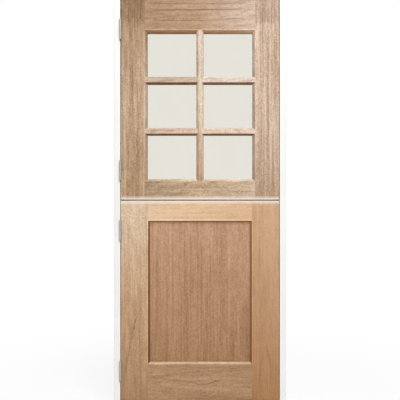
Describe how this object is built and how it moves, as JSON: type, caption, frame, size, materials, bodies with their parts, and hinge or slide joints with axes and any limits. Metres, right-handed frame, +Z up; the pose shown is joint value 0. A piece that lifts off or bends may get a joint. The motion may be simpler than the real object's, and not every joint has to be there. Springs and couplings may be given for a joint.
{
  "type": "stable door",
  "caption": "Stable door split into a glazed upper leaf and a panelled lower leaf, each swinging by itself on butt hinges in a timber frame.",
  "frame": {"origin": "middle of the frame's base, on the floor line and halfway through the frame's depth", "axes": "+X to the right as seen from the front, +Y from the front to the back, +Z up"},
  "size_m": [0.883, 0.1275, 2.124],
  "materials": {
    "frame_primed_timber": "primed white, matt",
    "threshold_oak": "planed, unfinished",
    "upper_leaf_oak": "sanded, unfinished",
    "lower_leaf_oak": "sanded, unfinished",
    "panel_oak": "sanded veneer, unfinished",
    "bead_oak": "sanded, unfinished",
    "clear_glass": "clear, polished",
    "hinge_steel": "satin",
    "screw_steel": "satin",
    "dowel_beech": "plain",
    "black_rubber": "matt",
    "seal_rubber": "grey-brown, matt"
  },
  "bodies": {
    "frame": {"hinge_jamb": "frame_primed_timber", "latch_jamb": "frame_primed_timber", "head_jamb": "frame_primed_timber", "threshold": "threshold_oak", "hinge_side_stop": "frame_primed_timber", "latch_side_stop": "frame_primed_timber", "head_stop": "frame_primed_timber", "frame_corner_screws": "screw_steel", "frame_hinge_screws": "screw_steel", "upper_top_hinge_frame_plate": "hinge_steel", "upper_bottom_hinge_frame_plate": "hinge_steel", "lower_top_hinge_frame_plate": "hinge_steel", "lower_bottom_hinge_frame_plate": "hinge_steel", "upper_top_hinge_pin": "hinge_steel", "upper_bottom_hinge_pin": "hinge_steel", "lower_top_hinge_pin": "hinge_steel", "lower_bottom_hinge_pin": "hinge_steel"},
    "upper_leaf": {"upper_hinge_stile": "upper_leaf_oak", "upper_latch_stile": "upper_leaf_oak", "upper_top_rail": "upper_leaf_oak", "upper_meeting_rail": "upper_leaf_oak", "upright_glazing_bar": "upper_leaf_oak", "cross_bar_upper_left": "upper_leaf_oak", "cross_bar_lower_left": "upper_leaf_oak", "cross_bar_upper_right": "upper_leaf_oak", "cross_bar_lower_right": "upper_leaf_oak", "glass_pane_top_left": "clear_glass", "glass_pane_middle_left": "clear_glass", "glass_pane_bottom_left": "clear_glass", "glass_pane_top_right": "clear_glass", "glass_pane_middle_right": "clear_glass", "glass_pane_bottom_right": "clear_glass", "glazing_beads_top_left": "bead_oak", "glazing_beads_middle_left": "bead_oak", "glazing_beads_bottom_left": "bead_oak", "glazing_beads_top_right": "bead_oak", "glazing_beads_middle_right": "bead_oak", "glazing_beads_bottom_right": "bead_oak", "glass_setting_blocks": "black_rubber", "upper_leaf_dowels": "dowel_beech", "upper_leaf_hinge_screws": "screw_steel", "upper_top_hinge_leaf_plate": "hinge_steel", "upper_bottom_hinge_leaf_plate": "hinge_steel"},
    "lower_leaf": {"lower_hinge_stile": "lower_leaf_oak", "lower_latch_stile": "lower_leaf_oak", "lower_top_rail": "lower_leaf_oak", "bottom_rail": "lower_leaf_oak", "lower_panel": "panel_oak", "meeting_seal": "seal_rubber", "lower_leaf_dowels": "dowel_beech", "lower_leaf_hinge_screws": "screw_steel", "lower_top_hinge_leaf_plate": "hinge_steel", "lower_bottom_hinge_leaf_plate": "hinge_steel"}
  },
  "joints": [
    {"name": "upper_leaf_swing", "type": "hinge", "parent": "frame", "child": "upper_leaf", "pos_m": [-0.408, -0.064, 1.577], "axis": [0, 0, -1], "range_deg": [0, 170]},
    {"name": "lower_leaf_swing", "type": "hinge", "parent": "frame", "child": "lower_leaf", "pos_m": [-0.408, -0.064, 0.546], "axis": [0, 0, -1], "range_deg": [0, 170]}
  ]
}
